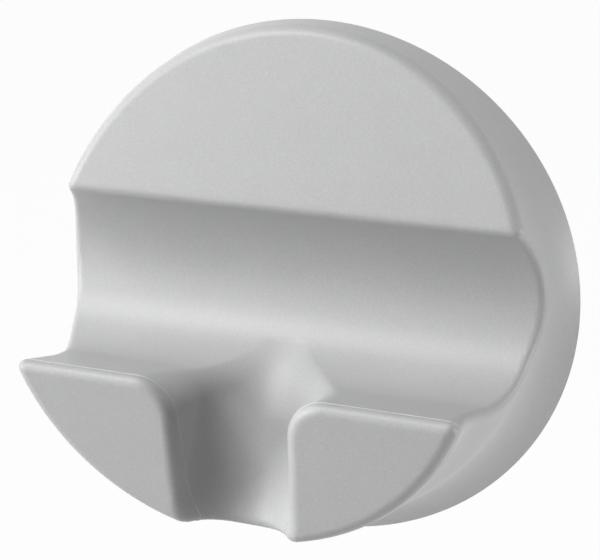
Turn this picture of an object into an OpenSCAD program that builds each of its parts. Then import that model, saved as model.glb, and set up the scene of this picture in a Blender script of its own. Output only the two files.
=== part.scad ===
// Magnetic hook: a round flared body with a cross groove and two prongs, and a magnet pack behind it.
// Millimetres. The wall is the plane Y = 0, the front looks along -Y and up is +Z.
// A depth is a distance forward of the body's back rim.

/* [Body] */
// radius of the back rim
back_r = 30; // [22:0.5:45]
// radius of the body beside the groove
barrel_r = 27.05; // [20:0.05:42]
// radius of the body at the prongs
front_r = 25.2; // [18:0.1:40]
// depth at which the flare of the back rim ends
rim_depth = 8; // [5:0.5:12]
// depth at which the side begins to close in towards the prongs
shoulder_back = 9; // [6:0.5:14]
// depth at which the side has closed in
shoulder_front = 21; // [16:0.5:34]
// depth of the upper face's plane at the centre height
face_depth = 14.5; // [9:0.1:22]
// lean of the upper face back from upright, degrees
face_lean = 18.3; // [5:0.1:30]

/* [Groove] */
// height of the groove's deepest line
seat_z = 3; // [-4:0.1:8]
// depth of body left behind the groove's deepest line
web_depth = 5.8; // [5.5:0.1:10]
// radius of the groove's ceiling
ceiling_r = 9.97; // [8:0.01:15]
// radius of the groove's seat
seat_r = 8.4; // [5:0.1:12]
// rise of the groove's floor towards the prong tips, degrees
floor_rise = 15.2; // [4:0.1:25]

/* [Prongs] */
// depth of the prong faces at their top edge
prong_depth = 26.6; // [20:0.1:36]
// lean of the prong faces, degrees
prong_lean = 7.4; // [0:0.1:15]

/* [Notch] */
// half width of the notch at its lower end
notch_r = 5.7; // [4:0.1:9]
// draft by which each side of the notch opens upwards, degrees
notch_taper = 1.6; // [0:0.1:6]
// depth of the notch's floor at its lower end
notch_low = 20.8; // [15:0.1:24]
// lean of the notch's floor, degrees
notch_lean = 29.2; // [10:0.1:40]

/* [Edge rounding] */
// rim of the upper face
edge_face = 1.05; // [0.3:0.05:2]
// lower edge of the upper face
edge_lip = 0.75; // [0.3:0.05:2]
// edges of the prongs
edge_prong = 1.35; // [0.5:0.05:2.5]
// ends of the groove
edge_groove = 0.8; // [0.5:0.05:4]
// meeting of the groove's floor and the notch
edge_notch = 4; // [1:0.1:6]

/* [Shell] */
// least wall of the moulding
wall = 2.3; // [1.5:0.1:3]
// depth of the cored pockets behind the prongs
core_depth = 22; // [12:0.5:24]
// width of the ribs behind the upper face
rib_w = 1.6; // [1:0.1:3]
// half width of the cored pocket behind the upper face
core_half = 10; // [6:0.5:14]

/* [Cover and pad] */
// radius of the cover's flange
cover_r = 26; // [20:0.1:28]
// thickness of the cover's flange
flange_t = 2; // [1:0.1:3]
// radius of the magnet pack behind the flange
pack_r = 23.8; // [18:0.1:26]
// radius of the grip pad
pad_r = 23; // [16:0.1:25]
// thickness of the grip pad
pad_t = 1.5; // [0.8:0.1:3]
// depth of the pad's seat in the cover
pad_seat = 1; // [0.5:0.1:2]
// web of the cover between the pad and the magnets
web = 0.6; // [0.4:0.1:1.5]

/* [Magnets and yoke] */
// diameter of a magnet disc
magnet_d = 12; // [8:0.5:14]
// thickness of a magnet disc
magnet_t = 1.5; // [1:0.1:4]
// radius of the ring of magnets
magnet_ring = 15.5; // [10:0.1:18]
// thickness of the steel yoke
yoke_t = 1; // [0.5:0.1:2]

/* [Screws] */
// radius of the circle of screws
screw_ring = 18.5; // [14:0.1:20]
// screw shank diameter
shank_d = 2.2; // [1.6:0.1:3]
// screw head diameter
head_d = 4; // [3:0.1:5]
// screw head height
head_t = 1.2; // [0.8:0.1:2]
// shank length below the head
shank_l = 4.8; // [3:0.1:7]
// screw boss diameter
boss_d = 5.6; // [4:0.1:7]

/* [Fits] */
// radial clearance between fitted pieces
fit = 0.2; // [0.1:0.05:0.5]
// clearance round a screw shank
shank_fit = 0.1; // [0.05:0.05:0.3]

/* [Hidden] */
$fn = 96;
over = 0.5;
face_s = tan(face_lean);
prong_s = tan(prong_lean);
notch_s = tan(notch_lean);
// the pad stands this far out of the body's back, so it alone meets the wall
pad_proud = pad_t - pad_seat;
// depths of the layers of the magnet pack
magnet_back = pad_seat + web;
magnet_front = magnet_back + magnet_t;
yoke_front = magnet_front + yoke_t;
pack_depth = yoke_front + fit;
head_seat = pad_seat + head_t;
boss_top = head_seat + 1;
screw_turns = [40, 140, 270];
ring_turns = [90, 185, 232, 308, 355];

// Profile of the groove in the plane X = 0: ceiling arc, seat arc, then a straight floor to the prong tips.
ceiling_c = web_depth + ceiling_r;
seat_c = web_depth + seat_r;
floor_start = [seat_c + seat_r*sin(floor_rise), seat_z - seat_r*cos(floor_rise)];
tip_z = floor_start[1] + (prong_depth - floor_start[0])*tan(floor_rise);
// the lip is where the upper face meets the ceiling arc
lip_m = face_depth - ceiling_c;
lip_h = lip_m*face_s + seat_z;
lip_k = 1 + face_s*face_s;
lip_z = (lip_h + sqrt(lip_h*lip_h - lip_k*(lip_m*lip_m + seat_z*seat_z - ceiling_r*ceiling_r)))/lip_k;
lip_turn = atan2(lip_z - seat_z, face_depth - face_s*lip_z - ceiling_c);
// the notch's floor is measured from the underside of the prongs
notch_low_z = back_r - 2*front_r;

// Field of the body: negative inside, zero on the skin, in millimetres. A point is [x, depth, z].

function lerp(a, b, k) = a + (b - a)*k;

function ramp(a, b, v) =
    let (k = min(max((v - a)/(b - a), 0), 1))
    k*k*(3 - 2*k);

// Larger of two fields with the edge between them rounded to a radius.
function round_max(a, b, r) =
    let (u = max(a + r, 0), v = max(b + r, 0))
    min(max(a, b), -r) + sqrt(u*u + v*v);

// The side is a stack of circles that share their top line: a flared rim, a barrel and a shoulder.
function side_r(t) =
    let (rim = max(1 - t/rim_depth, 0))
    lerp(barrel_r, front_r, ramp(shoulder_back, shoulder_front, t)) + (back_r - barrel_r)*rim*rim;

function side_f(x, t, z) =
    let (r = side_r(t))
    norm([x, z - back_r + r]) - r;

function groove_f(t, z) =
    z >= seat_z
    ? norm([min(t - ceiling_c, 0), z - seat_z]) - ceiling_r
    : let (
        dt = t - seat_c,
        dz = z - seat_z,
        k = max(dt*cos(floor_rise) + dz*sin(floor_rise), 0)
    )
    norm([dt - k*cos(floor_rise), dz - k*sin(floor_rise)]) - seat_r;

// The notch is a round-bottomed slot; it widens upwards and its floor leans back into the groove.
function notch_half(z) = notch_r + tan(notch_taper)*(z - notch_low_z);

function notch_axis(z) = notch_low + notch_half(z) - notch_s*(z - notch_low_z);

function notch_f(x, t, z) = norm([x, min(t - notch_axis(z), 0)]) - notch_half(z);

function body_f(p) =
    let (
        x = p[0],
        t = p[1],
        z = p[2],
        upper = z >= seat_z,
        face = (t - face_depth + face_s*z)*cos(face_lean),
        prong = (t - prong_depth - prong_s*(z - tip_z))*cos(prong_lean),
        groove = -groove_f(t, z),
        cut = upper ? groove : round_max(groove, -notch_f(x, t, z), edge_notch),
        front = round_max(upper ? face : prong, cut, upper ? edge_lip : edge_prong),
        plain = lerp(edge_face, edge_prong, ramp(floor_start[0], shoulder_front, t)),
        ends = ramp(lip_z, lip_z - 5, z)*ramp(seat_c, web_depth + 1.5, t)
    )
    round_max(front, side_f(x, t, z), lerp(plain, edge_groove, ends));

// A point is drawn on to the skin along the field's slope.
function settle(p, n) =
    n == 0
    ? p
    : let (
        e = 0.01,
        f = body_f(p),
        g = [
            body_f(p + [e, 0, 0]) - f,
            body_f(p + [0, e, 0]) - f,
            body_f(p + [0, 0, e]) - f
        ]/e,
        step = min(max(f, -1.5), 1.5)
    )
    settle(p - g*step/(g*g), n - 1);

// Net of the skin: rows run down the front from the back rim's top to its bottom, columns run across.
// Each row is [band, fraction of the band]; close fractions follow a rounded edge.
rim_steps = [0, 0.07, 0.15, 0.24, 0.34, 0.46, 0.6, 0.74, 0.86, 0.95];
face_steps = [0, 0.03, 0.07, 0.22, 0.4, 0.6, 0.8, 0.93, 0.975];
ceiling_steps = [0, 0.03, 0.09, 0.25, 0.45, 0.65, 0.85];
seat_steps = [0, 0.12, 0.25, 0.38, 0.5, 0.63, 0.76, 0.88];
floor_steps = [0, 0.35, 0.7, 0.87, 0.95];
prong_steps = [0, 0.035, 0.085, 0.3, 0.55, 0.78, 0.92, 0.97, 1];
TOP = 0;
FACE = 1;
CEILING = 2;
SEAT = 3;
FLOOR = 4;
PRONG = 5;
UNDER = 6;
rows = concat(
    [for (k = rim_steps) [TOP, k]],
    [for (k = face_steps) [FACE, k]],
    [for (k = ceiling_steps) [CEILING, k]],
    [for (k = seat_steps) [SEAT, k]],
    [for (k = floor_steps) [FLOOR, k]],
    [for (k = prong_steps) [PRONG, k]],
    [for (k = [len(rim_steps) - 1:-1:0]) [UNDER, rim_steps[k]]]
);

// Each column of the right half is [zone, fraction], from the back rim to the middle.
reach_steps = [1, 0.97, 0.93, 0.75, 0.5, 0.25];
flank_steps = [1.1, 0.7, 0.38, 0.15, 0.03];
cheek_steps = [0.75, 0.5, 0.25];
valley_steps = [0.92, 0.68, 0.36, 0];
SIDE = 0;
REACH = 1;
FLANK = 2;
CHEEK = 3;
VALLEY = 4;
half_cols = concat(
    [for (k = rim_steps) [SIDE, k]],
    [for (k = reach_steps) [REACH, k]],
    [for (k = flank_steps) [FLANK, k]],
    [for (k = cheek_steps) [CHEEK, k]],
    [for (k = valley_steps) [VALLEY, k]]
);
mid = len(half_cols) - 1;
last_col = 2*mid;
last_row = len(rows) - 1;

// Angle on the back rim that a corner of the net takes up, on each side of 45.
corner_fan = 12;
// Angles on the back rim at which the bands of rows end, down the right-hand side.
side_fan = [45, 45 - corner_fan, 20, 4, -26, -32, corner_fan - 45, -45];
function row_angle(row) =
    let (k = row[0] == UNDER ? 1 - row[1] : row[1])
    lerp(side_fan[row[0]], side_fan[row[0] + 1], k);

// Angle on the back rim of a column, measured from the middle line: the corner of the net is at 45.
function col_angle(j) =
    let (c = half_cols[j])
    c[0] == SIDE ? 45 - corner_fan*c[1]
    : c[0] == REACH ? lerp(20, 45 - corner_fan, c[1])
    : 20*(mid - j)/(mid - len(rim_steps) - len(reach_steps) + 1);

function on_side(a, t) =
    let (r = side_r(t))
    [r*cos(a), t, back_r - r + r*sin(a)];

function side_angle(p) = atan2(p[2] - back_r + side_r(p[1]), p[0]);

function side_x(t, z) =
    let (r = side_r(t), h = z - back_r + r)
    sqrt(max(r*r - h*h, 0));

function face_at(z) = face_depth - face_s*z;
function prong_at(z) = prong_depth + prong_s*(z - tip_z);

// Height at which a leaning face meets the side above or below a place x, found by repetition.
function arc_z(x, up, n = 12, z = 0) =
    n == 0
    ? z
    : let (r = side_r(up > 0 ? face_at(z) : prong_at(z)))
    arc_z(x, up, n - 1, back_r - r + up*sqrt(max(r*r - x*x, 0)));

// Corners of the two faces, at 45 degrees on the side.
function corner_z(up, n = 12, z = 0) =
    n == 0
    ? z
    : let (r = side_r(up > 0 ? face_at(z) : prong_at(z)))
    corner_z(up, n - 1, back_r - r + up*r*sin(45));

face_corner_z = corner_z(1);
prong_corner_z = corner_z(-1);

function profile(row) =
    row[0] == CEILING
    ? let (a = lerp(lip_turn, 180, row[1])) [ceiling_c + ceiling_r*cos(a), seat_z + ceiling_r*sin(a)]
    : row[0] == SEAT
    ? let (a = lerp(180, 270 + floor_rise, row[1])) [seat_c + seat_r*cos(a), seat_z + seat_r*sin(a)]
    : [lerp(floor_start[0], prong_depth, row[1]), lerp(floor_start[1], tip_z, row[1])];

// Half width of the notch's mouth in a surface at depth t and height z; above the notch it stays narrow.
function mouth(t, z) =
    let (
        half = notch_half(min(z, tip_z)),
        behind = max(notch_axis(z) - t, 0),
        least = 0.36*half
    )
    sqrt(max(half*half - behind*behind, least*least));

// Place of a column across a row at depth t and height z whose side edge is at half width w.
function across(c, w, t, z) =
    let (half = mouth(t, z))
    c[0] == SIDE ? w
    : c[0] == REACH ? lerp(half + 1.1*edge_notch, w, c[1])
    : c[0] == FLANK ? half + c[1]*edge_notch
    : c[0] == CHEEK ? half
    : half*c[1];

// How far a row is down the notch's floor, from 0 at the groove to 1 at the lower end.
function notch_way(row) =
    row[0] == SEAT ? max(row[1] - 0.7, 0)*0.4
    : row[0] == FLOOR ? lerp(0.12, 0.35, row[1])
    : row[0] == PRONG ? lerp(0.35, 1, row[1])
    : 0;

notch_start_z = profile([SEAT, 0.7])[1];

function in_notch(row, x) =
    let (z = lerp(notch_start_z, arc_z(x, -1), notch_way(row)))
    [x, notch_axis(z) - sqrt(max(notch_half(z)^2 - x*x, 0)), z];

// A point of the front: the upper face, the groove, the prong faces or the notch.
function on_front(row, c) =
    row[0] == FACE
    ? let (
        zs = lerp(face_corner_z, lip_z, row[1]),
        x = across(c, side_x(face_at(zs), zs), 0, zs),
        x_top = across(c, side_x(face_at(face_corner_z), face_corner_z), 0, zs),
        z = zs + (arc_z(x_top, 1) - face_corner_z)*(1 - row[1])
    )
    [x, face_at(z), z]
    : row[0] == PRONG
    ? let (
        zs = lerp(tip_z, prong_corner_z, row[1]),
        zn = lerp(tip_z, arc_z(notch_r, -1), row[1]),
        x = across(c, side_x(prong_at(zs), zs), prong_at(zn), zn),
        x_low = across(c, side_x(prong_at(prong_corner_z), prong_corner_z), prong_at(zn), zn),
        z = zs + (arc_z(x_low, -1) - prong_corner_z)*row[1]
    )
    [x, prong_at(z), z]
    : let (q = profile(row))
    [across(c, side_x(q[0], q[1]), q[0], q[1]), q[0], q[1]];

function front_point(row, c) =
    let (
        a = on_front(row, c),
        share = c[0] == CHEEK ? c[1] : c[0] == VALLEY ? 0 : 1,
        inset = c[0] == CHEEK ? 0.94 : 1,
        notched = share < 1 && notch_way(row) > 0
    )
    notched ? lerp(in_notch(row, inset*a[0]), a, share) : a;

// First place of a point of the right half, before it settles on the skin.
function net_point(i, j) =
    let (
        row = rows[i],
        c = half_cols[j],
        top = row[0] == TOP,
        rim_row = top || row[0] == UNDER,
        edge_row = top ? [FACE, 0] : row[0] == UNDER ? [PRONG, 1] : row,
        deep = rim_row ? row[1] : 1,
        wide = c[0] == SIDE ? c[1] : 1,
        edge = front_point(edge_row, c[0] == SIDE ? [REACH, 1] : c),
        up = row[0] <= CEILING ? 1 : -1,
        from_row = row_angle(row),
        from_col = up*(90 - col_angle(j)),
        corner = up*45,
        turn = rim_row && c[0] == SIDE
            ? corner + (from_row - corner)*(1 - wide*wide) + (from_col - corner)*(1 - deep)
            : rim_row
            ? lerp(from_col, side_angle(edge), deep)
            : lerp(from_row, side_angle(edge), wide*wide)
    )
    rim_row || c[0] == SIDE ? on_side(turn, edge[1]*deep*wide) : edge;

// The right half is worked out and the left half mirrors it.
function net_half() = [
    for (i = [0:last_row])
        [
            for (j = [0:mid])
                let (p = net_point(i, j), q = p[1] > 0.001 ? settle(p, 8) : p)
                [j == mid ? 0 : q[0], -pad_proud - q[1], q[2]]
        ]
];

module skin() {
    half = net_half();
    cols = last_col + 1;
    points = [
        for (i = [0:last_row])
            for (j = [0:last_col])
                let (p = half[i][min(j, last_col - j)])
                [j < mid ? -p[0] : p[0], p[1], p[2]]
    ];
    sides = [
        for (i = [0:last_row - 1])
            for (j = [0:last_col - 1])
                let (
                    a = i*cols + j,
                    b = a + 1,
                    d = a + cols,
                    e = d + 1,
                    // each square is split along the line that leaves the net's nearest corner
                    rising = (j < mid) == (2*i > last_row)
                )
                each rising ? [[a, b, d], [b, e, d]] : [[a, b, e], [a, e, d]]
    ];
    back = concat(
        [for (i = [0:last_row]) i*cols],
        [for (j = [1:last_col]) last_row*cols + j],
        [for (i = [last_row - 1:-1:0]) i*cols + last_col],
        [for (j = [last_col - 1:-1:1]) j]
    );
    polyhedron(points, concat(sides, [back]));
}

// Layout helpers: a drum is a round layer between two depths, and a slab a flat outline between two depths.

module drum(r, from, to) {
    translate([0, -pad_proud - from, 0])
        rotate([90, 0, 0])
            cylinder(r = r, h = to - from);
}

module slab(from, to) {
    translate([0, -pad_proud - from, 0])
        rotate([90, 0, 0])
            linear_extrude(height = to - from)
                children();
}

module at_screws() {
    for (a = screw_turns)
        at_turn(a, screw_ring)
            children();
}

module at_turn(a, ring) {
    translate([ring*cos(a), 0, ring*sin(a)])
        children();
}

// Cored pocket behind each prong, inside the side, the groove's floor and the notch.
module prong_cores() {
    low = notch_half(tip_z) + 1.2*wall;
    ceiling = floor_start[1] - wall - 0.3;
    for (s = [0, 1])
        mirror([s, 0, 0])
            slab(pack_depth - over, core_depth)
                intersection() {
                    translate([0, back_r - front_r])
                        circle(r = front_r - wall);
                    translate([low, ceiling - back_r])
                        square([back_r, back_r]);
                }
}

// Wedge-shaped pockets behind the upper face, parallel to it, with ribs left between them.
module face_cores() {
    low = lip_z + wall/2;
    skin_depth = face_depth - wall/cos(face_lean);
    high = (skin_depth - pack_depth)/face_s;
    bay = (2*core_half - 2*rib_w)/3;
    for (k = [-1, 0, 1])
        translate([k*(bay + rib_w) - bay/2, -pad_proud, 0])
            rotate([90, 0, 90])
                linear_extrude(height = bay)
                    polygon([
                        [-pack_depth + over, low],
                        [-skin_depth + face_s*low, low],
                        [-pack_depth, high],
                        [-pack_depth + over, high]
                    ]);
}

// The moulding before its screw bosses: skin, cover seat, magnet well and cores.
module hollow_skin() {
    difference() {
        skin();
        drum(cover_r + fit, -over, flange_t);
        drum(pack_r + fit, 0, pack_depth);
        prong_cores();
        face_cores();
    }
}

module hook_body() {
    color([0.66, 0.66, 0.67])
        difference() {
            union() {
                hollow_skin();
                at_screws()
                    drum(boss_d/2, boss_top, pack_depth + over);
            }
            at_screws()
                drum(shank_d/2 + shank_fit, boss_top - over, head_seat + shank_l + 0.4);
        }
}

module back_cover() {
    color([0.13, 0.13, 0.14])
        difference() {
            union() {
                drum(cover_r, 0, flange_t);
                drum(pack_r, 0, magnet_front);
            }
            drum(pad_r + fit, -over, pad_seat);
            for (a = ring_turns)
                at_turn(a, magnet_ring)
                    drum(magnet_d/2 + fit, magnet_back, magnet_front + over);
            drum(magnet_d/2 + fit, magnet_back, magnet_front + over);
            at_screws() {
                drum(head_d/2 + fit, pad_seat - over, head_seat);
                drum(shank_d/2 + shank_fit, 0, magnet_front + over);
                drum(boss_d/2 + fit, boss_top, magnet_front + over);
            }
        }
}

module yoke_plate() {
    color([0.55, 0.56, 0.58])
        difference() {
            drum(pack_r, magnet_front, yoke_front);
            at_screws()
                drum(boss_d/2 + fit, magnet_front - over, yoke_front + over);
        }
}

// Plated disc with its two rims broken.
module magnet() {
    chamfer = 0.25;
    r = magnet_d/2;
    color([0.72, 0.73, 0.75])
        translate([0, -pad_proud - magnet_back, 0])
            rotate([90, 0, 0])
                rotate_extrude()
                    polygon([
                        [0, 0],
                        [r - chamfer, 0],
                        [r, chamfer],
                        [r, magnet_t - chamfer],
                        [r - chamfer, magnet_t],
                        [0, magnet_t]
                    ]);
}

module magnet_1() at_turn(ring_turns[0], magnet_ring) magnet();
module magnet_2() at_turn(ring_turns[1], magnet_ring) magnet();
module magnet_3() at_turn(ring_turns[2], magnet_ring) magnet();
module magnet_4() at_turn(ring_turns[3], magnet_ring) magnet();
module magnet_5() at_turn(ring_turns[4], magnet_ring) magnet();
module magnet_6() magnet();

// Pan-head screw with a cross recess and a pointed shank; its head sits in the cover.
module screw() {
    r = head_d/2;
    crown = 0.3;
    slot_w = 0.6;
    slot_l = 2.2;
    slot_deep = 0.7;
    under_pad = 0.1;
    color([0.60, 0.61, 0.63])
        translate([0, -pad_proud - pad_seat, 0])
            rotate([90, 0, 0])
                difference() {
                    rotate_extrude()
                        polygon([
                            [0, under_pad],
                            [r - crown, under_pad],
                            [r, under_pad + crown],
                            [r, head_t],
                            [shank_d/2, head_t],
                            [shank_d/2, head_t + shank_l - shank_d],
                            [0.2, head_t + shank_l],
                            [0, head_t + shank_l]
                        ]);
                    for (a = [0, 90])
                        rotate([0, 0, a])
                            translate([-slot_l/2, -slot_w/2, -over])
                                cube([slot_l, slot_w, over + under_pad + slot_deep]);
                }
}

module screw_1() at_turn(screw_turns[0], screw_ring) screw();
module screw_2() at_turn(screw_turns[1], screw_ring) screw();
module screw_3() at_turn(screw_turns[2], screw_ring) screw();

// Soft disc whose back is the only face that meets the wall.
module grip_pad() {
    chamfer = 0.3;
    color([0.10, 0.10, 0.10])
        rotate([90, 0, 0])
            rotate_extrude()
                polygon([
                    [0, 0],
                    [pad_r - chamfer, 0],
                    [pad_r, chamfer],
                    [pad_r, pad_t],
                    [0, pad_t]
                ]);
}

hook_body();
back_cover();
yoke_plate();
magnet_1();
magnet_2();
magnet_3();
magnet_4();
magnet_5();
magnet_6();
screw_1();
screw_2();
screw_3();
grip_pad();
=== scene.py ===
"""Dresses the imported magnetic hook: a satin moulded body, its dark back and a plain studio."""

import logging
import math
from dataclasses import dataclass
from enum import Enum
from typing import Any, Union

import bpy
import numpy as np
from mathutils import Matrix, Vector


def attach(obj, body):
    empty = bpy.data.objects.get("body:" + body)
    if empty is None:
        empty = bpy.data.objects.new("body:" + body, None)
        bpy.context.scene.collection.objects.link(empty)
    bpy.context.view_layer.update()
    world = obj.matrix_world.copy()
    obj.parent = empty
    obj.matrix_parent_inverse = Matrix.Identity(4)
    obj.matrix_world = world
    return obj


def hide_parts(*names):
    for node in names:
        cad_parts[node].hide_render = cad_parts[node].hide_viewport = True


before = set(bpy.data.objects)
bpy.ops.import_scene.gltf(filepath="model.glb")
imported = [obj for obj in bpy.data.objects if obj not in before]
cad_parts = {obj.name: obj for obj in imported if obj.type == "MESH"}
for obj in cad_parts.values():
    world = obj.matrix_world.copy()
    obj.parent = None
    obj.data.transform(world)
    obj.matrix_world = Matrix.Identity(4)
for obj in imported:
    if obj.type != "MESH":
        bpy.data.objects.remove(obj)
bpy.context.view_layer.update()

MM = 0.001
BODY = "root"
FULL_TURN = 2.0 * math.pi
WHITE = (1.0, 1.0, 1.0, 1.0)
Array = np.ndarray
Operand = Union["Signal", float]
Value = Union["Signal", float, tuple[float, ...]]
log = logging.getLogger("magnetic_hook")


class Side(Enum):
    """The two prongs, by the sign of their place along X."""

    LEFT = -1
    RIGHT = 1


class Signal:
    """A node socket whose operators add Math nodes to its tree."""

    def __init__(self, graph: "Graph", socket: bpy.types.NodeSocket) -> None:
        """Wraps one output socket of a graph."""
        self.graph = graph
        self.socket = socket

    def _math(self, operation: str, first: Operand, second: Operand) -> "Signal":
        """Adds one Math node and returns its result."""
        return self.graph.signal("ShaderNodeMath", 0, {"operation": operation}, {0: first, 1: second})

    def __add__(self, other: Operand) -> "Signal":
        """Sum."""
        return self._math("ADD", self, other)

    __radd__ = __add__

    def __sub__(self, other: Operand) -> "Signal":
        """Difference."""
        return self._math("SUBTRACT", self, other)

    def __rsub__(self, other: Operand) -> "Signal":
        """Difference, the other way round."""
        return self._math("SUBTRACT", other, self)

    def __mul__(self, other: Operand) -> "Signal":
        """Product."""
        return self._math("MULTIPLY", self, other)

    __rmul__ = __mul__

    def at_least(self, limit: Operand) -> "Signal":
        """The larger of this and a limit."""
        return self._math("MAXIMUM", self, limit)


class Graph:
    """A node tree that is written as expressions."""

    def __init__(self, tree: bpy.types.NodeTree) -> None:
        """Empties a tree and takes it over."""
        self.tree = tree
        tree.nodes.clear()

    def node(
        self,
        kind: str,
        settings: dict[str, Any] | None = None,
        inputs: dict[str | int, Value] | None = None,
    ) -> bpy.types.Node:
        """Adds a node.

        Args:
            kind: The node's type.
            settings: Properties, which are set first.
            inputs: Values or signals by socket name or number.

        Returns:
            The new node.
        """
        made = self.tree.nodes.new(kind)
        for key, value in (settings or {}).items():
            setattr(made, key, value)
        for key, value in (inputs or {}).items():
            if isinstance(value, Signal):
                self.tree.links.new(value.socket, made.inputs[key])
            else:
                made.inputs[key].default_value = value
        return made

    def signal(
        self,
        kind: str,
        output: str | int,
        settings: dict[str, Any] | None = None,
        inputs: dict[str | int, Value] | None = None,
    ) -> Signal:
        """Adds a node and returns one of its outputs, by name or number."""
        return Signal(self, self.node(kind, settings, inputs).outputs[output])

    def noise(self, period: float, detail: float = 2.0, rough: float = 0.5) -> Signal:
        """Noise over the object's own frame, about 0 to 1.

        Args:
            period: Its period in metres.
            detail: How many finer layers it has.
            rough: How strong the finer layers are.

        Returns:
            The noise.
        """
        place = self.signal("ShaderNodeTexCoord", "Object")
        inputs = {"Vector": place, "Scale": 1.0 / period, "Detail": detail, "Roughness": rough}
        return self.signal("ShaderNodeTexNoise", 0, {"noise_dimensions": "3D"}, inputs)

    def blend(self, share: Signal, first: Value, second: Value) -> Signal:
        """A colour between two colours, through the Mix node's numbered colour sockets."""
        factor, colour_a, colour_b, colour_out = 0, 6, 7, 2
        inputs = {factor: share, colour_a: first, colour_b: second}
        return self.signal("ShaderNodeMix", colour_out, {"data_type": "RGBA"}, inputs)

    def mix_shader(self, share: Signal, first: Signal, second: Signal) -> Signal:
        """A shader between two shaders."""
        return self.signal("ShaderNodeMixShader", 0, {}, {0: share, 1: first, 2: second})


def rgba(colour: tuple[float, float, float]) -> tuple[float, float, float, float]:
    """A colour with full cover."""
    return (*colour, 1.0)


@dataclass(frozen=True)
class Finish:
    """A surface with a fine grain: two tones mixed by noise, a roughness that wanders and a small relief."""

    name: str
    light: tuple[float, float, float]
    dark: tuple[float, float, float]
    grain: float
    mottle: float
    relief: float
    rough: float
    rough_span: float = 0.06
    metallic: float = 0.0
    specular: float = 0.5
    cloud_share: float = 0.1
    grain_detail: float = 3.0
    grain_rough: float = 0.65

    def material(self) -> bpy.types.Material:
        """Builds the material.

        Returns:
            A node material in the current file.
        """
        made = bpy.data.materials.new(self.name)
        made.use_nodes = True
        graph = Graph(made.node_tree)
        speck = graph.noise(self.grain, self.grain_detail, self.grain_rough)
        cloud = graph.noise(self.mottle)
        tone = speck + (cloud - speck) * self.cloud_share
        bump = {"Strength": 1.0, "Distance": self.relief, "Height": speck}
        look = {
            "Base Color": graph.blend(tone, rgba(self.dark), rgba(self.light)),
            "Roughness": (cloud + speck - 1.0) * self.rough_span + self.rough,
            "Metallic": self.metallic,
            "Specular IOR Level": self.specular,
            "Normal": graph.signal("ShaderNodeBump", 0, {}, bump),
        }
        graph.node("ShaderNodeOutputMaterial", {}, {0: graph.signal("ShaderNodeBsdfPrincipled", 0, {}, look)})
        return made


SATIN = Finish(
    name="satin_silver_plastic",
    light=(0.570, 0.572, 0.577),
    dark=(0.380, 0.382, 0.387),
    grain=0.20 * MM,
    mottle=4.0 * MM,
    relief=0.008 * MM,
    rough=0.40,
    specular=0.38,
)
# Parting line bead: a lighter tone than the body. It is partly the mould's real witness line and partly a
# painted highlight standing in for the light that the thin bead catches.
PARTING_LINE_PAINTED_HIGHLIGHT = Finish(
    name="parting_line_with_painted_highlight",
    light=(0.68, 0.68, 0.69),
    dark=(0.60, 0.60, 0.61),
    grain=0.30 * MM,
    mottle=3.0 * MM,
    relief=0.002 * MM,
    rough=0.35,
)
MATT = Finish(
    name="matt_black_plastic",
    light=(0.040, 0.040, 0.042),
    dark=(0.022, 0.022, 0.024),
    grain=0.35 * MM,
    mottle=5.0 * MM,
    relief=0.010 * MM,
    rough=0.58,
)
RUBBER = Finish(
    name="grip_rubber",
    light=(0.034, 0.033, 0.032),
    dark=(0.018, 0.018, 0.018),
    grain=0.45 * MM,
    mottle=6.0 * MM,
    relief=0.020 * MM,
    rough=0.78,
)
ZINC = Finish(
    name="zinc_plate",
    light=(0.56, 0.57, 0.59),
    dark=(0.44, 0.45, 0.47),
    grain=0.25 * MM,
    mottle=3.0 * MM,
    relief=0.004 * MM,
    rough=0.36,
    metallic=1.0,
)
NICKEL = Finish(
    name="nickel_plate",
    light=(0.70, 0.69, 0.67),
    dark=(0.62, 0.61, 0.59),
    grain=0.30 * MM,
    mottle=3.0 * MM,
    relief=0.002 * MM,
    rough=0.16,
    metallic=1.0,
)


def ramp(start: float, end: float, value: Array) -> Array:
    """A smooth step from 0 at start to 1 at end."""
    share = np.clip((value - start) / (end - start), 0.0, 1.0)
    return share * share * (3.0 - 2.0 * share)


def between(first: Array | float, second: float, share: Array) -> Array:
    """The value at a share of the way from the first to the second."""
    return first + (second - first) * share


def round_max(first: Array, second: Array, radius: Array | float) -> Array:
    """The larger of two fields, with the edge between them rounded.

    Args:
        first: One field.
        second: The other field.
        radius: The edge's radius, for all or for each value.

    Returns:
        The joined field.
    """
    u = np.maximum(first + radius, 0.0)
    v = np.maximum(second + radius, 0.0)
    return np.minimum(np.maximum(first, second), -np.asarray(radius)) + np.hypot(u, v)


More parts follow.
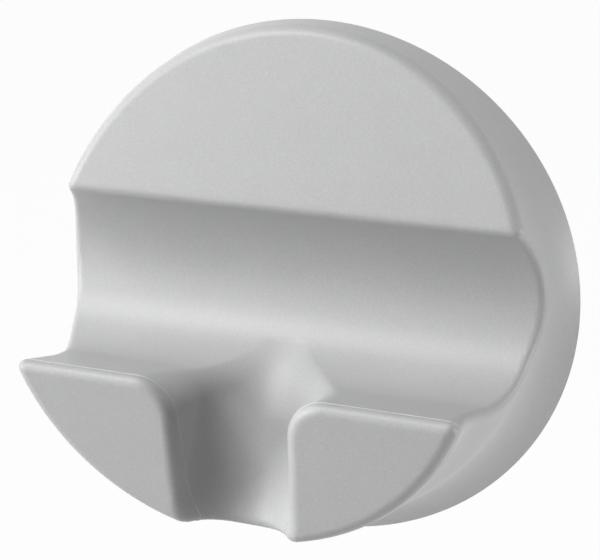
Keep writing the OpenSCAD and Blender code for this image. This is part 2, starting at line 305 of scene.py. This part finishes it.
@dataclass(frozen=True)
class HookForm:
    """The body as a field in millimetres, negative inside. A depth runs forward from the back rim."""

    # Side: the rim's flare, which reaches further by rim_sag at the foot, a barrel and a shoulder
    back_r: float = 30.0
    barrel_r: float = 27.05
    front_r: float = 25.2
    shoulder: tuple[float, float] = (9.0, 21.0)
    rim_depth: float = 8.0
    rim_sag: float = 4.0
    # Upper face: its depth at mid height, and its lean in degrees
    face_depth: float = 14.5
    face_lean: float = 18.3
    # Groove: a ceiling above seat_z and a seat below it, whose floor rises forward, in degrees
    seat_z: float = 3.0
    web_depth: float = 5.8
    ceiling_r: float = 9.97
    seat_r: float = 8.4
    floor_rise: float = 15.2
    # Prongs: the depth of their top edge, and the face's lean in degrees
    prong_depth: float = 26.6
    prong_lean: float = 7.4
    # Notch: taper and lean in degrees, heights from the prongs' foot, and a back that sweeps from mid to top
    notch_r: float = 5.7
    notch_taper: float = 1.6
    notch_low: float = 20.8
    notch_lean: float = 29.2
    notch_mid: float = 9.4
    notch_top: float = 16.8
    notch_sweep: float = 0.044
    # Edge radii, and the stretches over which they change
    edge_face: float = 1.05
    edge_lip: float = 0.75
    edge_prong: float = 1.35
    edge_groove: float = 0.8
    groove_end_fall: float = 5.0
    groove_end_depth: float = 1.5
    edge_notch: float = 4.0
    edge_saddle: float = 0.6
    saddle_depth: float = 9.5
    saddle_past: float = 2.0
    edge_back: float = 0.25
    # Openings in the back, and how far the pad holds the rim off the wall
    cover_seat_r: float = 26.2
    cover_seat_depth: float = 2.0
    well_r: float = 24.0
    well_depth: float = 4.3
    pad_proud: float = 0.5

    @property
    def floor_start(self) -> tuple[float, float]:
        """Depth and height at which the groove's floor runs straight.

        Returns:
            The depth and the height.
        """
        rise = math.radians(self.floor_rise)
        centre = self.web_depth + self.seat_r
        return centre + self.seat_r * math.sin(rise), self.seat_z - self.seat_r * math.cos(rise)

    @property
    def tip_z(self) -> float:
        """Height of the prongs' top edge."""
        depth, height = self.floor_start
        return height + (self.prong_depth - depth) * math.tan(math.radians(self.floor_rise))

    @property
    def foot_z(self) -> float:
        """Height of the front circle's lowest point."""
        return self.back_r - 2.0 * self.front_r

    @property
    def lip_z(self) -> float:
        """Height at which the upper face meets the groove's ceiling, from a line that cuts a circle.

        Returns:
            The upper of the two heights.
        """
        lean = math.tan(math.radians(self.face_lean))
        offset = self.face_depth - self.web_depth - self.ceiling_r
        half = offset * lean + self.seat_z
        square = 1.0 + lean * lean
        rest = offset**2 + self.seat_z**2 - self.ceiling_r**2
        return (half + math.sqrt(half * half - square * rest)) / square

    def flare(self, depth: Array, z: Array) -> Array:
        """Radius of the side, whose rim flares longer towards the foot.

        Args:
            depth: Depths.
            z: Heights.

        Returns:
            One radius a place.
        """
        reach = self.rim_depth + self.rim_sag * ramp(0.0, self.back_r, -z)
        rim = np.maximum(1.0 - depth / reach, 0.0)
        barrel = between(self.barrel_r, self.front_r, ramp(*self.shoulder, depth))
        return barrel + (self.back_r - self.barrel_r) * rim * rim

    def side(self, x: Array, depth: Array, z: Array) -> Array:
        """Field of the flared side, a stack of circles that share their top line."""
        radius = self.flare(depth, z)
        return np.hypot(x, z - self.back_r + radius) - radius

    def groove(self, depth: Array, z: Array) -> Array:
        """Field of the cross groove.

        Args:
            depth: Depths.
            z: Heights.

        Returns:
            The field, negative in the groove.
        """
        rise = math.radians(self.floor_rise)
        up = z - self.seat_z
        behind = np.minimum(depth - self.web_depth - self.ceiling_r, 0.0)
        ceiling = np.hypot(behind, up) - self.ceiling_r
        forward = depth - self.web_depth - self.seat_r
        along = np.maximum(forward * math.cos(rise) + up * math.sin(rise), 0.0)
        seat = np.hypot(forward - along * math.cos(rise), up - along * math.sin(rise)) - self.seat_r
        return np.where(z >= self.seat_z, ceiling, seat)

    def notch(self, x: Array, depth: Array, z: Array) -> Array:
        """Field of the notch, a round-backed slot that widens upwards and sweeps back into the seat.

        Args:
            x: Places across.
            depth: Depths.
            z: Heights.

        Returns:
            The field, negative in the notch.
        """
        up = z - self.foot_z
        half = self.notch_r + math.tan(math.radians(self.notch_taper)) * up
        climb = np.minimum(up, self.notch_top)
        sweep = self.notch_sweep * np.maximum(climb - self.notch_mid, 0.0) ** 2
        axis = self.notch_low + half - math.tan(math.radians(self.notch_lean)) * climb - sweep
        return np.hypot(x, np.minimum(depth - axis, 0.0)) - half

    def prong_face(self, depth: Array, z: Array) -> Array:
        """Distance in front of the prongs' leaning face."""
        lean = math.radians(self.prong_lean)
        return (depth - self.prong_depth - math.tan(lean) * (z - self.tip_z)) * math.cos(lean)

    def upper_face(self, depth: Array, z: Array) -> Array:
        """Distance in front of the leaning upper face."""
        lean = math.radians(self.face_lean)
        return (depth - self.face_depth + math.tan(lean) * z) * math.cos(lean)

    def well(self, x: Array, depth: Array, z: Array) -> Array:
        """Field of the cover's seat and the magnet well in the back.

        Args:
            x: Places across.
            depth: Depths.
            z: Heights.

        Returns:
            The field, negative in the openings.
        """
        radius = np.hypot(x, z)
        seat = np.maximum(radius - self.cover_seat_r, depth - self.cover_seat_depth)
        return np.minimum(seat, np.maximum(radius - self.well_r, depth - self.well_depth))

    def saddle_roll(self, depth: Array) -> Array:
        """Edge radius between the groove's floor and the notch, which grows forward."""
        grown = ramp(self.saddle_depth, self.notch_low + self.saddle_past, depth)
        return between(self.edge_saddle, self.edge_notch, grown)

    def side_roll(self, depth: Array, z: Array) -> Array:
        """Edge radius between the front and the side, which has its own size at the groove's ends.

        Args:
            depth: Depths.
            z: Heights.

        Returns:
            One radius a place.
        """
        plain = between(self.edge_face, self.edge_prong, ramp(self.floor_start[0], self.shoulder[1], depth))
        below_lip = ramp(self.lip_z, self.lip_z - self.groove_end_fall, z)
        in_seat = ramp(self.web_depth + self.seat_r, self.web_depth + self.groove_end_depth, depth)
        return between(plain, self.edge_groove, below_lip * in_seat)

    def __call__(self, points: Array) -> Array:
        """The field.

        Args:
            points: Rows of x, depth and height.

        Returns:
            One value a row.
        """
        x, depth, z = points.T
        upper = z >= self.seat_z
        groove = -self.groove(depth, z)
        lower_cut = round_max(groove, -self.notch(x, depth, z), self.saddle_roll(depth))
        cut = np.where(upper, groove, lower_cut)
        face = np.where(upper, self.upper_face(depth, z), self.prong_face(depth, z))
        front = round_max(face, cut, np.where(upper, self.edge_lip, self.edge_prong))
        body = round_max(front, self.side(x, depth, z), self.side_roll(depth, z))
        closed = np.maximum(body, -depth)
        return round_max(closed, -self.well(x, depth, z), self.edge_back)

    def slope(self, points: Array, step: float = 1e-3) -> Array:
        """The field's gradient by central differences.

        Args:
            points: Rows of x, depth and height.
            step: Half the distance of the two values that are compared.

        Returns:
            One gradient a row.
        """
        columns = []
        for axis in range(3):
            move = np.zeros(3)
            move[axis] = step
            columns.append((self(points + move) - self(points - move)) / (2.0 * step))
        return np.stack(columns, axis=1)

    def settle(self, points: Array, rounds: int = 6, stride: float = 0.4, least: float = 1e-6) -> Array:
        """Draws points on to the skin along the field's slope.

        Args:
            points: Rows of x, depth and height.
            rounds: How often they are moved.
            stride: The largest value of the field that one move makes up for.
            least: The smallest square of a slope that is divided by.

        Returns:
            The points on the skin.
        """
        for _ in range(rounds):
            slope = self.slope(points)
            size = np.maximum((slope * slope).sum(1), least)
            points = points - slope * (np.clip(self(points), -stride, stride) / size)[:, None]
        return points


@dataclass(frozen=True)
class SurfaceNet:
    """Meshes a field's zero surface: a point in each cell that it crosses, a square round each crossed edge.

    A small weight, hold, keeps a point near the middle of its crossings, and slack is how many steps it may
    lie outside its cell.
    """

    low: Array
    high: Array
    step: float
    hold: float = 0.02
    slack: float = 0.6

    @property
    def shape(self) -> tuple[int, ...]:
        """Number of grid points along each axis."""
        return tuple(int(n) for n in np.ceil((self.high - self.low) / self.step) + 1)

    def sample(self, form: HookForm) -> Array:
        """The field at each grid point.

        Args:
            form: The field.

        Returns:
            Its values by place along the three axes.
        """
        lines = [self.low[k] + self.step * np.arange(count) for k, count in enumerate(self.shape)]
        values = np.empty(self.shape)
        depth, z = (plane.ravel() for plane in np.meshgrid(lines[1], lines[2], indexing="ij"))
        for k, x in enumerate(lines[0]):
            values[k] = form(np.stack([np.full(depth.size, x), depth, z], 1)).reshape(self.shape[1:])
        return values

    def mesh(self, form: HookForm) -> tuple[Array, Array]:
        """Meshes the field.

        Args:
            form: The field, negative inside.

        Returns:
            Points, and squares that turn anticlockwise seen from outside.
        """
        values = self.sample(form)
        cells = tuple(n - 1 for n in self.shape)
        rings, spots = [], []
        for axis in range(3):
            edges, square = self._crossed(values, axis)
            start = values[tuple(edges.T)]
            ahead = edges.copy()
            ahead[:, axis] += 1
            spot = edges.astype(float)
            spot[:, axis] += start / (start - values[tuple(ahead.T)])
            rings.append(np.ravel_multi_index(square.reshape(-1, 3).T, cells).reshape(-1, 4))
            spots.append(self.low + self.step * spot)
        live, squares = np.unique(np.concatenate(rings), return_inverse=True)
        squares = squares.reshape(-1, 4)
        points = self._fit(form, np.concatenate(spots), squares, len(live))
        lowest = self.low + self.step * np.stack(np.unravel_index(live, cells), 1)
        loose = self.slack * self.step
        return np.clip(points, lowest - loose, lowest + self.step + loose), squares

    def _crossed(self, values: Array, axis: int) -> tuple[Array, Array]:
        """Grid edges along an axis that the surface crosses.

        Args:
            values: The field at each grid point.
            axis: The edges' axis.

        Returns:
            The edges' first grid points, and the four cells round each, in the turning order of its square.
        """
        one, two = (axis + 1) % 3, (axis + 2) % 3
        inside = values < 0.0
        first = np.take(inside, range(self.shape[axis] - 1), axis)
        edges = np.argwhere(first != np.take(inside, range(1, self.shape[axis]), axis))
        ring = []
        for back_one, back_two in ((1, 1), (0, 1), (0, 0), (1, 0)):
            cell = edges.copy()
            cell[:, one] -= back_one
            cell[:, two] -= back_two
            ring.append(cell)
        square = np.stack(ring, 1)
        leaving = first[tuple(edges.T)]
        return edges, np.where(leaving[:, None, None], square, square[:, ::-1])

    def _fit(self, form: HookForm, spot: Array, squares: Array, count: int) -> Array:
        """The point of each cell that lies nearest to the surface's planes at the cell's crossings.

        Args:
            form: The field.
            spot: Where each crossed edge meets the surface.
            squares: The four cells round each crossed edge.
            count: How many cells there are.

        Returns:
            One point a cell.
        """
        slope = form.slope(spot)
        facing = slope / np.linalg.norm(slope, axis=1)[:, None]

        def total(values: Array) -> Array:
            """Sums a value of the edges over the cells that they touch."""
            return np.bincount(squares.ravel(), np.repeat(values, squares.shape[1]), count)

        shares = total(np.ones(len(spot)))
        middle = np.stack([total(spot[:, k]) / shares for k in range(3)], 1)
        rows = [np.stack([total(facing[:, j] * facing[:, k]) for k in range(3)], 1) for j in range(3)]
        matrix = np.stack(rows, 1)
        away = (facing * spot).sum(1)
        right = np.stack([total(facing[:, k] * away) for k in range(3)], 1)
        right -= np.einsum("njk,nk->nj", matrix, middle)
        matrix += self.hold * shares[:, None, None] * np.eye(3)
        return middle + np.linalg.solve(matrix, right[:, :, None])[:, :, 0]


def to_frame(points: Array, proud: float) -> Array:
    """Rows of x, depth and height in millimetres as points of the frame in metres."""
    return np.stack([points[:, 0], -points[:, 1] - proud, points[:, 2]], 1) * MM


def unit(rows: Array) -> Array:
    """Rows of vectors at length 1."""
    return rows / np.linalg.norm(rows, axis=1)[:, None]


def tube_squares(count: int, sides: int) -> list[list[int]]:
    """Squares of a tube that closes on itself.

    Args:
        count: Rings along the tube.
        sides: Points round a ring.

    Returns:
        Lists of point numbers.
    """
    faces = []
    for i in range(count):
        here = i * sides
        ahead = (i + 1) % count * sides
        for j in range(sides):
            beside = (j + 1) % sides
            faces.append([here + j, ahead + j, ahead + beside, here + beside])
    return faces


def revolve(rows: list[tuple[float, float]], turns: int) -> tuple[Array, list[list[int]]]:
    """Turns a profile about the Y axis.

    Args:
        rows: Radius and distance from the wall, from the axis round to the axis.
        turns: Points round a ring.

    Returns:
        Points, and faces that look outwards. At the axis they are triangles.
    """
    points: list[tuple[float, float, float]] = []
    rings: list[list[int]] = []
    for radius, away in rows:
        count = turns if radius > 0.0 else 1
        rings.append([len(points) + k % count for k in range(turns)])
        for k in range(count):
            turn = FULL_TURN * k / turns
            points.append((radius * math.cos(turn), -away, radius * math.sin(turn)))
    faces = []
    for first, second in zip(rings, rings[1:]):
        for k in range(turns):
            beside = (k + 1) % turns
            faces.append(list(dict.fromkeys((first[k], first[beside], second[beside], second[k]))))
    return np.array(points), faces


def add_piece(
    name: str,
    points: Array,
    faces: list[list[int]],
    normals: Array | None,
    finish: bpy.types.Material,
) -> bpy.types.Object:
    """Adds a smooth mesh piece.

    Args:
        name: The piece's name.
        points: Rows of points in metres.
        faces: Lists of point numbers.
        normals: One normal a face corner, or None to take the mesh's own.
        finish: Its material.

    Returns:
        The new object.
    """
    mesh = bpy.data.meshes.new(name)
    mesh.from_pydata(points.tolist(), [], faces)
    mesh.update()
    mesh.shade_smooth()
    if normals is not None:
        mesh.normals_split_custom_set(normals.tolist())
    mesh.materials.append(finish)
    piece = bpy.data.objects.new(name, mesh)
    bpy.context.scene.collection.objects.link(piece)
    log.info("%s: %d points, %d faces", name, len(points), len(faces))
    return piece


@dataclass
class HookBody:
    """The moulded body: its smooth skin and the parting line round each prong.

    The margins and rim_catch count in steps of the skin's grid.
    """

    form: HookForm
    grid: float = 0.4
    margin: float = 1.5
    back_margin: float = 2.5
    rim_catch: float = 0.95
    flat: float = 0.02
    line_r: float = 0.055
    line_points: int = 260
    line_sides: int = 8
    line_lean: float = 9.8
    line_halvings: int = 40
    prong_centre: tuple[float, float] = (16.0, -9.0)

    def skin(self) -> tuple[Array, Array, Array]:
        """The skin.

        Returns:
            Points in millimetres, squares, and the normals of their corners.
        """
        form = self.form
        margin = self.margin * self.grid
        reach = self.grid * math.ceil((form.back_r + margin) / self.grid)
        low = np.array([-reach, -self.back_margin * self.grid, -reach])
        high = np.array([reach, form.prong_depth + margin, reach])
        points, squares = SurfaceNet(low, high, self.grid).mesh(form)
        points, on_rim = self._sharpen(form.settle(points))
        ahead = np.array([0.0, self.grid, 0.0])
        normals = unit(form.slope(points + on_rim[:, None] * ahead))[squares]
        normals[(np.abs(points[:, 1]) < self.flat)[squares].all(1)] = (0.0, -1.0, 0.0)
        return points, squares[:, ::-1], normals[:, ::-1].reshape(-1, 3)

    def _sharpen(self, points: Array) -> tuple[Array, Array]:
        """Draws the points beside the back rim on to its circle.

        Args:
            points: Rows of x, depth and height in millimetres.

        Returns:
            The points, and which of them lie on the rim.
        """
        radius = np.hypot(points[:, 0], points[:, 2])
        on_rim = np.hypot(radius - self.form.back_r, points[:, 1]) < self.rim_catch * self.grid
        stretch = self.form.back_r / np.maximum(radius, self.grid)
        moved = points * stretch[:, None] * np.array([1.0, 0.0, 1.0])
        return np.where(on_rim[:, None], moved, points), on_rim

    def line_path(self, side: Side) -> Array:
        """Loop round a prong where its rounded front edge begins.

        Args:
            side: Which prong.

        Returns:
            Rows of x, depth and height in millimetres.
        """
        form = self.form
        lean = math.tan(math.radians(self.line_lean))
        turn = np.linspace(0.0, FULL_TURN, self.line_points, endpoint=False)

        def place(reach: Array) -> Array:
            """Points at a reach from the prong's middle, in the line's plane."""
            x = side.value * self.prong_centre[0] + reach * np.cos(turn)
            z = self.prong_centre[1] + reach * np.sin(turn)
            depth = form.prong_depth + lean * (z - form.tip_z) - form.edge_prong
            return np.stack([x, depth, z], 1)

        near, far = np.zeros_like(turn), np.full_like(turn, form.back_r)
        for _ in range(self.line_halvings):
            middle = 0.5 * (near + far)
            out = form(place(middle)) > 0.0
            near, far = np.where(out, near, middle), np.where(out, middle, far)
        return place(near)

    def line(self, side: Side) -> tuple[Array, list[list[int]], Array]:
        """Half-sunk bead along a prong's parting line.

        Args:
            side: Which prong.

        Returns:
            Points in millimetres, squares, and the normals of their corners.
        """
        path = self.line_path(side)
        along = unit(np.roll(path, -1, 0) - np.roll(path, 1, 0))
        slope = self.form.slope(path)
        out = unit(slope - along * (slope * along).sum(1)[:, None])
        across = np.cross(along, out)
        turn = np.linspace(0.0, FULL_TURN, self.line_sides, endpoint=False)[None, :, None]
        normals = (out[:, None, :] * np.cos(turn) + across[:, None, :] * np.sin(turn)).reshape(-1, 3)
        points = np.repeat(path, self.line_sides, 0) + self.line_r * normals
        faces = tube_squares(self.line_points, self.line_sides)
        return points, faces, normals[np.ravel(faces)]

    def build(self) -> bpy.types.Object:
        """Builds the body and sets it in place of its solid.

        Returns:
            The new object.
        """
        points, squares, normals = self.skin()
        piece = self._add("moulded_body", points, squares.tolist(), normals, SATIN)
        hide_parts("hook_body")
        for side in Side:
            # The beads take the lighter tone, a painted highlight along each parting line.
            self._add(f"parting_line_{side.name.lower()}", *self.line(side), PARTING_LINE_PAINTED_HIGHLIGHT)
        return piece

    def _add(
        self, name: str, points: Array, faces: list[list[int]], normals: Array, finish: Finish
    ) -> bpy.types.Object:
        """Adds a piece of the body.

        Args:
            name: The piece's name.
            points: Rows of x, depth and height in millimetres.
            faces: Lists of point numbers.
            normals: One normal a face corner.
            finish: Its finish.

        Returns:
            The new object.
        """
        facing = normals * np.array([1.0, -1.0, 1.0])
        piece = add_piece(name, to_frame(points, self.form.pad_proud), faces, facing, finish.material())
        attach(piece, BODY)
        return piece


@dataclass
class GripPad:
    """The rubber disc on the back, turned from a profile with a rounded wall edge.

    The rings on its wall face lie at shares of its radius.
    """

    radius: float = 23.0
    thick: float = 1.5
    edge: float = 0.45
    face_rings: tuple[float, ...] = (0.35, 0.7)
    arc_steps: int = 6
    turns: int = 160

    def profile(self) -> list[tuple[float, float]]:
        """Outline of half a section.

        Returns:
            Radius and distance from the wall, from the wall face's middle round to the seat's middle.
        """
        rows = [(0.0, 0.0)] + [(share * self.radius, 0.0) for share in self.face_rings]
        for k in range(self.arc_steps + 1):
            turn = 0.25 * FULL_TURN * k / self.arc_steps
            out = self.radius - self.edge + self.edge * math.sin(turn)
            rows.append((out, self.edge - self.edge * math.cos(turn)))
        return rows + [(self.radius, self.thick), (0.0, self.thick)]

    def build(self) -> bpy.types.Object:
        """Builds the pad and sets it in place of its solid.

        Returns:
            The new object.
        """
        points, faces = revolve(self.profile(), self.turns)
        piece = add_piece("rubber_pad", points * MM, faces, None, RUBBER.material())
        shading = piece.modifiers.new("weighted", "WEIGHTED_NORMAL")
        shading.keep_sharp = True
        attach(piece, BODY)
        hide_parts("grip_pad")
        return piece


@dataclass
class MagnetPack:
    """The cover, yoke, magnets and screws behind the body, which keep their solids."""

    magnets: int = 6
    screws: int = 3

    def dress(self) -> None:
        """Gives each solid its finish."""
        nickel, zinc = NICKEL.material(), ZINC.material()
        self._finish("back_cover", MATT.material())
        self._finish("yoke_plate", zinc)
        for k in range(self.magnets):
            self._finish(f"magnet_{k + 1}", nickel)
        for k in range(self.screws):
            self._finish(f"screw_{k + 1}", zinc)

    def _finish(self, node: str, finish: bpy.types.Material) -> None:
        """Sets one solid's material.

        Args:
            node: The solid's name.
            finish: Its material.
        """
        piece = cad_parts[node]
        piece.data.materials.clear()
        piece.data.materials.append(finish)
        log.info("%s: %s", node, finish.name)


@dataclass(frozen=True)
class Softbox:
    """A round soft lamp that faces the hook, at a bearing from the front and a height in degrees."""

    name: str
    bearing: float
    height: float
    power: float
    width: float
    reach: float = 0.6

    def build(self) -> bpy.types.Object:
        """Adds the lamp.

        Returns:
            The new object.
        """
        data = bpy.data.lights.new(self.name, "AREA")
        data.shape = "DISK"
        data.size = self.width
        data.energy = self.power
        turn, rise = math.radians(self.bearing), math.radians(self.height)
        level = math.cos(rise)
        way = Vector((math.sin(turn) * level, -math.cos(turn) * level, math.sin(rise)))
        made = bpy.data.objects.new(self.name, data)
        made.location = way * self.reach
        made.rotation_euler = way.to_track_quat("Z", "Y").to_euler()
        made.visible_camera = False
        bpy.context.scene.collection.objects.link(made)
        return made


SOFTBOXES = (
    Softbox("low_key_softbox", bearing=-55.0, height=12.0, power=2.75, width=0.36),
    Softbox("high_key_softbox", bearing=-42.0, height=53.0, power=2.44, width=0.35),
    Softbox("rim_softbox", bearing=97.0, height=0.0, power=1.95, width=0.22),
)


@dataclass
class Studio:
    """A pale floor, soft light from the left and from behind, three softboxes and the photograph's camera.

    The camera's eye, aim, lens and sensor are in millimetres, its clip and the floor's sizes in metres.
    """

    eye: tuple[float, float, float] = (57.79, -160.45, 59.36)
    aim: tuple[float, float, float] = (-1.87, -0.5, 0.34)
    lens: float = 95.76
    sensor: float = 36.0
    clip_start: float = 0.005
    sky_left: float = 0.46
    sky_behind: float = 0.25
    floor_z: float = -0.14
    floor_size: float = 8.0
    floor_tone: float = 0.6
    floor_glow: float = 0.97

    def camera(self) -> None:
        """Sets the camera."""
        data = bpy.data.cameras.new("camera")
        data.sensor_fit = "HORIZONTAL"
        data.sensor_width = self.sensor
        data.lens = self.lens
        data.clip_start = self.clip_start
        made = bpy.data.objects.new("camera", data)
        made.location = Vector(self.eye) * MM
        made.rotation_euler = (Vector(self.aim) - Vector(self.eye)).to_track_quat("-Z", "Y").to_euler()
        bpy.context.scene.collection.objects.link(made)
        bpy.context.scene.camera = made

    def seen(self, graph: Graph) -> Signal:
        """1 for the rays that show the background, straight, mirrored or through glass.

        Args:
            graph: The tree that asks.

        Returns:
            The 1 or 0.
        """
        path = graph.node("ShaderNodeLightPath")
        names = ("Is Camera Ray", "Is Glossy Ray", "Is Transmission Ray")
        straight, mirrored, through = (Signal(graph, path.outputs[name]) for name in names)
        return straight.at_least(mirrored).at_least(through)

    def sky_light(self) -> None:
        """Sets the soft light from the left and from behind, and the white background."""
        world = bpy.data.worlds.new("studio")
        world.use_nodes = True
        bpy.context.scene.world = world
        graph = Graph(world.node_tree)
        way = graph.signal("ShaderNodeTexCoord", "Generated")
        split = graph.node("ShaderNodeSeparateXYZ", {}, {0: way})
        x, y = (Signal(graph, split.outputs[name]) for name in "XY")
        level = (x * -self.sky_left).at_least(0.0) + (y * self.sky_behind).at_least(0.0)
        soft = graph.signal("ShaderNodeBackground", 0, {}, {"Color": WHITE, "Strength": level})
        white = graph.signal("ShaderNodeBackground", 0, {}, {"Color": WHITE, "Strength": 1.0})
        graph.node("ShaderNodeOutputWorld", {}, {0: graph.mix_shader(self.seen(graph), soft, white)})

    def floor_finish(self) -> bpy.types.Material:
        """The floor's material, which shows white and keeps a faint shadow.

        Returns:
            A node material in the current file.
        """
        made = bpy.data.materials.new("pale_floor")
        made.use_nodes = True
        graph = Graph(made.node_tree)
        matt = graph.signal("ShaderNodeBsdfDiffuse", 0, {}, {"Color": rgba((self.floor_tone,) * 3)})
        glow = graph.signal("ShaderNodeEmission", 0, {}, {"Color": WHITE, "Strength": 1.0})
        shown = graph.mix_shader(self.seen(graph) * self.floor_glow, matt, glow)
        graph.node("ShaderNodeOutputMaterial", {}, {0: shown})
        return made

    def floor(self) -> None:
        """Adds the floor."""
        half = 0.5 * self.floor_size
        mesh = bpy.data.meshes.new("floor")
        corners = [(-half, -half, 0.0), (half, -half, 0.0), (half, half, 0.0), (-half, half, 0.0)]
        mesh.from_pydata(corners, [], [[0, 1, 2, 3]])
        mesh.materials.append(self.floor_finish())
        made = bpy.data.objects.new("floor", mesh)
        made.location = (0.0, 0.0, self.floor_z)
        bpy.context.scene.collection.objects.link(made)

    def build(self) -> None:
        """Builds the studio."""
        bpy.context.scene.view_settings.view_transform = "Standard"
        self.camera()
        self.sky_light()
        self.floor()
        for lamp in SOFTBOXES:
            lamp.build()
        log.info("studio: camera, floor and soft light")


def main() -> None:
    """Builds the hook and its studio."""
    logging.basicConfig(level=logging.INFO, format="%(name)s %(message)s")
    Studio().build()
    HookBody(HookForm()).build()
    MagnetPack().dress()
    GripPad().build()


if __name__ == "__main__":
    main()
